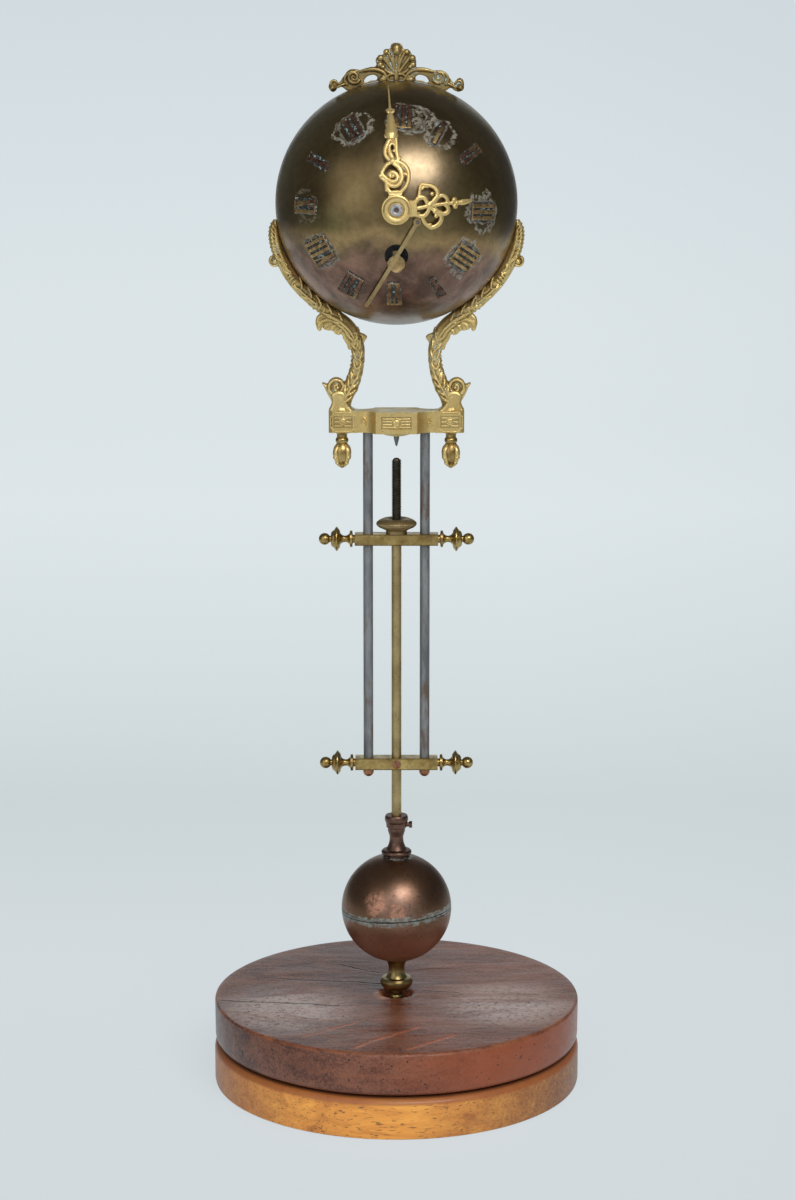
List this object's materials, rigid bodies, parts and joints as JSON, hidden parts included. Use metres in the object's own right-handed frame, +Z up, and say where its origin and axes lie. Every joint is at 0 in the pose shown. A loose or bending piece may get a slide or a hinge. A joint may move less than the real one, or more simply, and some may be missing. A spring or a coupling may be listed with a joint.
{
  "type": "swinging ball clock on a stand",
  "caption": "Ball-dial clock held in scroll arms above a gridiron rod, standing by its ball bob on a two-disc wooden display stand.",
  "frame": {"origin": "middle of the stand's underside, on the vertical axis through the rod and the ball", "axes": "+Z up, the dial and the hands face -Y, +X to the right as seen from the front"},
  "size_m": [0.1808, 0.1808, 0.5059],
  "materials": {
    "dark_mahogany": "dark varnish, wrinkled and cracked",
    "amber_mahogany": "worn amber varnish, darker to the right",
    "bob_copper": "copper-brown patina with worn patches",
    "ballast_iron": "rough cast",
    "cast_brass": "cast and chased, worn gilding with green in the recesses",
    "turned_brass": "turned and lacquered, spotted",
    "rod_brass": "drawn, dull",
    "copper": "dull copper",
    "case_bronze": "polished, iridescent brown patina",
    "hand_brass": "pierced sheet, worn bright",
    "movement_brass": "lacquered clock brass",
    "steel": "drawn, dull with brown spots",
    "blued_steel": "tempered"
  },
  "bodies": {
    "stand": {"base_lower_disc": "amber_mahogany", "base_upper_disc": "dark_mahogany", "bob_foot": "turned_brass", "bob_lower_shell": "bob_copper", "bob_upper_shell": "bob_copper", "bob_weight": "ballast_iron", "bob_neck": "bob_copper", "bob_neck_screw": "bob_copper", "centre_rod": "rod_brass"},
    "swing_frame": {"lower_crossbar": "turned_brass", "upper_crossbar": "turned_brass", "clamp_screw": "copper", "left_rod": "steel", "right_rod": "steel", "rod_rivets": "copper", "upper_finials": "turned_brass", "lower_finials": "turned_brass", "bracket": "cast_brass", "pivot_spike": "steel", "drop_finials": "turned_brass", "left_arm": "cast_brass", "right_arm": "cast_brass", "crown": "cast_brass", "front_shell": "case_bronze", "rear_shell": "case_bronze", "case_band": "movement_brass", "case_screws": "steel", "key_scoop": "hand_brass", "back_plate": "movement_brass", "front_plate": "movement_brass", "pillars": "movement_brass", "plate_screws": "steel", "lug_screws": "steel", "minute_stud": "steel", "click_stud": "steel", "pointer_stud": "steel"},
    "regulating_nut": {"regulating_nut": "turned_brass"},
    "hands_minute": {"cannon_pinion": "steel", "minute_hand": "hand_brass", "hand_screw": "steel"},
    "hands_hour": {"hour_wheel": "movement_brass", "hour_hand": "hand_brass"},
    "motion_wheel": {"minute_wheel": "movement_brass"},
    "centre_train": {"centre_arbor": "steel", "centre_wheel": "movement_brass"},
    "third_train": {"third_arbor": "steel", "third_wheel": "movement_brass"},
    "escape_train": {"escape_arbor": "steel", "escape_wheel": "movement_brass"},
    "barrel_drum": {"barrel": "movement_brass", "barrel_cover": "movement_brass", "mainspring": "blued_steel"},
    "winding": {"winding_arbor": "steel", "ratchet_wheel": "steel"},
    "click": {"click": "steel"},
    "inner_pendulum": {"pallet_arbor": "steel", "anchor": "steel", "inner_pendulum": "movement_brass"},
    "pointer": {"pointer": "hand_brass"}
  },
  "joints": [
    {"name": "frame_slide", "type": "slide", "parent": "stand", "child": "swing_frame", "axis": [0, 0, 1], "range_m": [-0.005, 0.02]},
    {"name": "nut_turn", "type": "hinge", "parent": "swing_frame", "child": "regulating_nut", "pos_m": [0, 0, 0.2738], "axis": [0, 0, 1], "range_deg": [-2252, 9002]},
    {"name": "minute_turn", "type": "hinge", "parent": "swing_frame", "child": "hands_minute", "pos_m": [0, 0, 0.43165], "axis": [0, 1, 0], "continuous": true},
    {"name": "hour_turn", "type": "hinge", "parent": "swing_frame", "child": "hands_hour", "pos_m": [0, 0, 0.43165], "axis": [0, 1, 0], "continuous": true},
    {"name": "motion_turn", "type": "hinge", "parent": "swing_frame", "child": "motion_wheel", "pos_m": [-0.00848, -0.02, 0.44013], "axis": [0, 1, 0], "continuous": true},
    {"name": "escape_turn", "type": "hinge", "parent": "swing_frame", "child": "escape_train", "pos_m": [0, -0.02, 0.45215], "axis": [0, 1, 0], "continuous": true},
    {"name": "third_turn", "type": "hinge", "parent": "swing_frame", "child": "third_train", "pos_m": [-0.009, -0.02, 0.44439], "axis": [0, 1, 0], "continuous": true},
    {"name": "centre_turn", "type": "hinge", "parent": "swing_frame", "child": "centre_train", "pos_m": [0, 0, 0.43165], "axis": [0, 1, 0], "continuous": true},
    {"name": "barrel_turn", "type": "hinge", "parent": "swing_frame", "child": "barrel_drum", "pos_m": [0, 0, 0.41037], "axis": [0, 1, 0], "continuous": true},
    {"name": "winding_turn", "type": "hinge", "parent": "swing_frame", "child": "winding", "pos_m": [0, 0, 0.41037], "axis": [0, 1, 0], "continuous": true},
    {"name": "click_lift", "type": "hinge", "parent": "swing_frame", "child": "click", "pos_m": [-0.0004, -0.02, 0.41927], "axis": [0, -1, 0], "range_deg": [0, 14]},
    {"name": "pendulum_swing", "type": "hinge", "parent": "swing_frame", "child": "inner_pendulum", "pos_m": [0, -0.02, 0.46487], "axis": [0, 1, 0], "range_deg": [-4, 4]},
    {"name": "pointer_swing", "type": "hinge", "parent": "swing_frame", "child": "pointer", "pos_m": [0.00945, -0.05608, 0.42605], "axis": [0.1654, -0.9813, -0.098], "range_deg": [-35, 35]}
  ],
  "couplings": [
    {"joint": "nut_turn", "follows": "frame_slide", "rad_per_m": 7854},
    {"joint": "hour_turn", "follows": "minute_turn", "ratio": 0.083333},
    {"joint": "motion_turn", "follows": "minute_turn", "ratio": -0.33333},
    {"joint": "third_turn", "follows": "escape_turn", "ratio": -0.1},
    {"joint": "centre_turn", "follows": "escape_turn", "ratio": 0.0083333},
    {"joint": "barrel_turn", "follows": "escape_turn", "ratio": -0.0015432}
  ]
}
